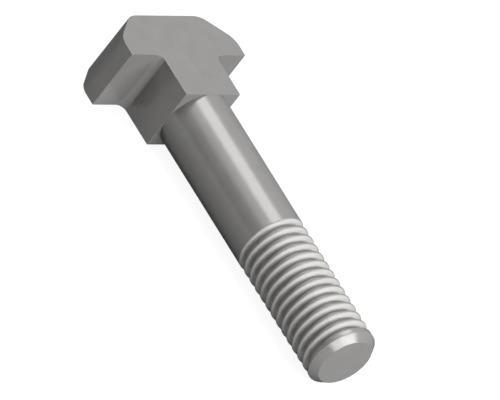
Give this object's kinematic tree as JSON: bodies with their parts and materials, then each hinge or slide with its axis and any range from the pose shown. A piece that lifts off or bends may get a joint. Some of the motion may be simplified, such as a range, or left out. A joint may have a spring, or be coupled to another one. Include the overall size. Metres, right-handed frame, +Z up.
{
  "type": "t slot bolt",
  "caption": "Hammer-head bolt for a T slot: flat T head with sloped corners, square neck, plain shank and a right-hand helical thread to a chamfered point.",
  "frame": {"origin": "on the surface that the bolt lies on, under the middle of its footprint", "axes": "+X along the bolt's axis towards the point, +Y along the length of the T head, +Z up, square to the broad side that the head and neck lie on"},
  "size_m": [0.057, 0.021, 0.01],
  "materials": {
    "steel": "bare forged and turned steel, satin, lightly oiled"
  },
  "bodies": {
    "root": {"t_slot_bolt": "steel"}
  },
  "joints": []
}
